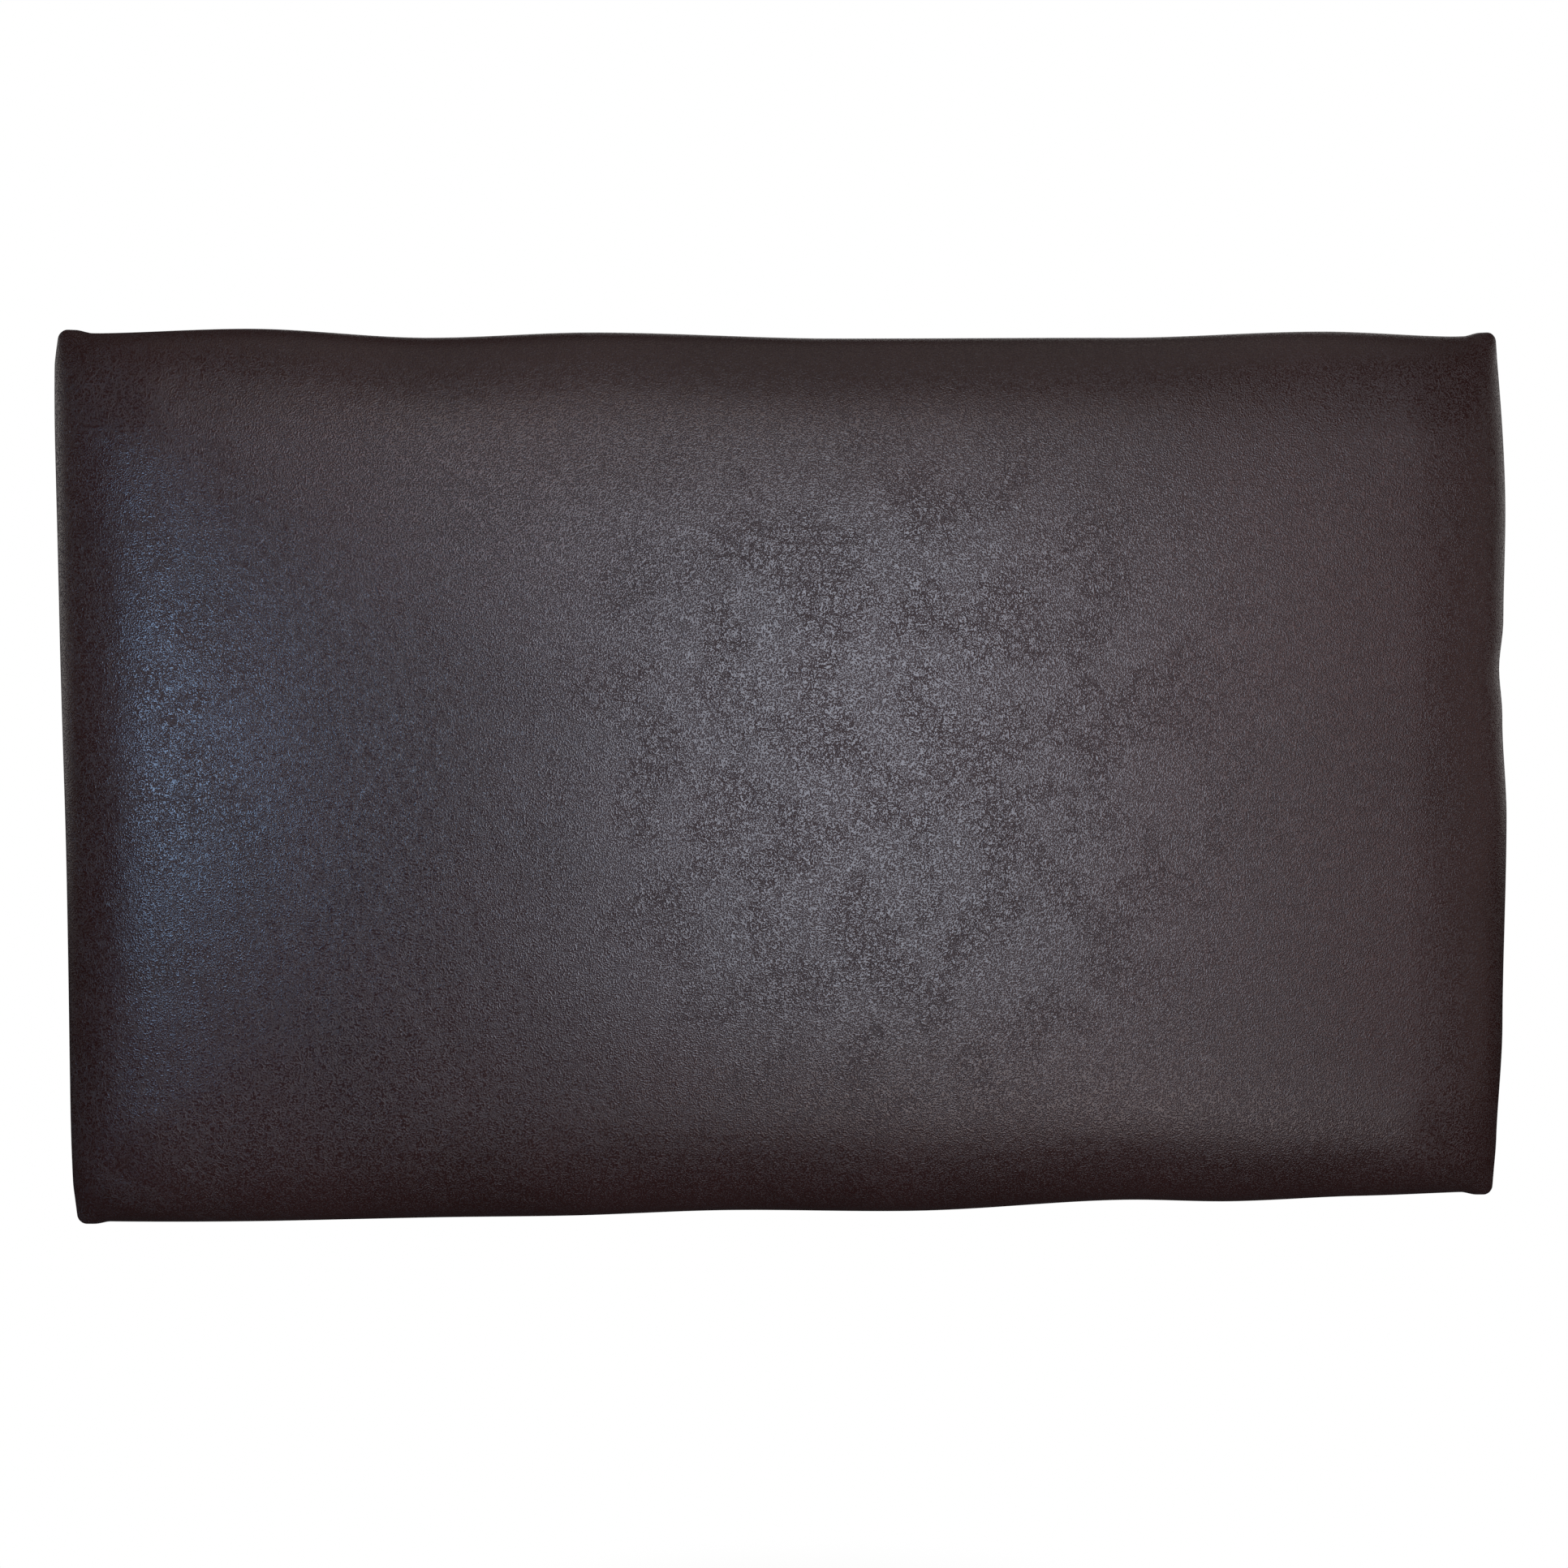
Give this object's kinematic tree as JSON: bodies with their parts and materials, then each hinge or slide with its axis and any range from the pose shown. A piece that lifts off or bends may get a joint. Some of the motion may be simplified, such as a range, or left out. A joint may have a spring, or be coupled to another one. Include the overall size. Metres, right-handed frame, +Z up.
{
  "type": "wall punch pad",
  "caption": "Rectangular punch pad: faux leather over layered foam on a plywood board, hung on interlocking wall rails so it lifts off, with a face that gives when struck.",
  "frame": {"origin": "centre of the four wall screw holes, on the wall plane", "axes": "+Z up, +Y into the wall, so the padded face looks along -Y, and +X to the right seen from the front"},
  "size_m": [0.6, 0.068, 0.367],
  "materials": {
    "faux_leather": "satin",
    "plywood": "matte",
    "firm_foam": "matte",
    "soft_foam": "matte",
    "wadding": "matte",
    "strip_foam": "matte",
    "rail_aluminium": "satin",
    "zinc_steel": "satin",
    "staple_steel": "satin",
    "bumper_rubber": "matte"
  },
  "bodies": {
    "wall_mount": {"wall_rail_top": "rail_aluminium", "wall_rail_bottom": "rail_aluminium"},
    "pad": {"panel_rail_top": "rail_aluminium", "panel_rail_bottom": "rail_aluminium", "rail_bolts": "zinc_steel", "rail_washers": "zinc_steel", "tee_nuts": "zinc_steel", "backing_board": "plywood", "base_foam": "firm_foam", "strike_foam": "soft_foam", "edge_strip_top": "strip_foam", "edge_strip_bottom": "strip_foam", "edge_strip_left": "strip_foam", "edge_strip_right": "strip_foam", "cover": "faux_leather", "cover_staples": "staple_steel", "bumper_top_left": "bumper_rubber", "bumper_top_right": "bumper_rubber", "bumper_bottom_left": "bumper_rubber", "bumper_bottom_right": "bumper_rubber", "bumper_washers": "zinc_steel", "bumper_screws": "zinc_steel"},
    "strike_face": {"face_wadding": "wadding"}
  },
  "joints": [
    {"name": "pad_lift", "type": "slide", "parent": "wall_mount", "child": "pad", "axis": [0, 0, 1], "range_m": [0, 0.014]},
    {"name": "strike_press", "type": "slide", "parent": "pad", "child": "strike_face", "axis": [0, 1, 0], "range_m": [0, 0.018], "stiffness_N_per_m": 20000, "deforming": ["strike_foam", "cover"]}
  ]
}
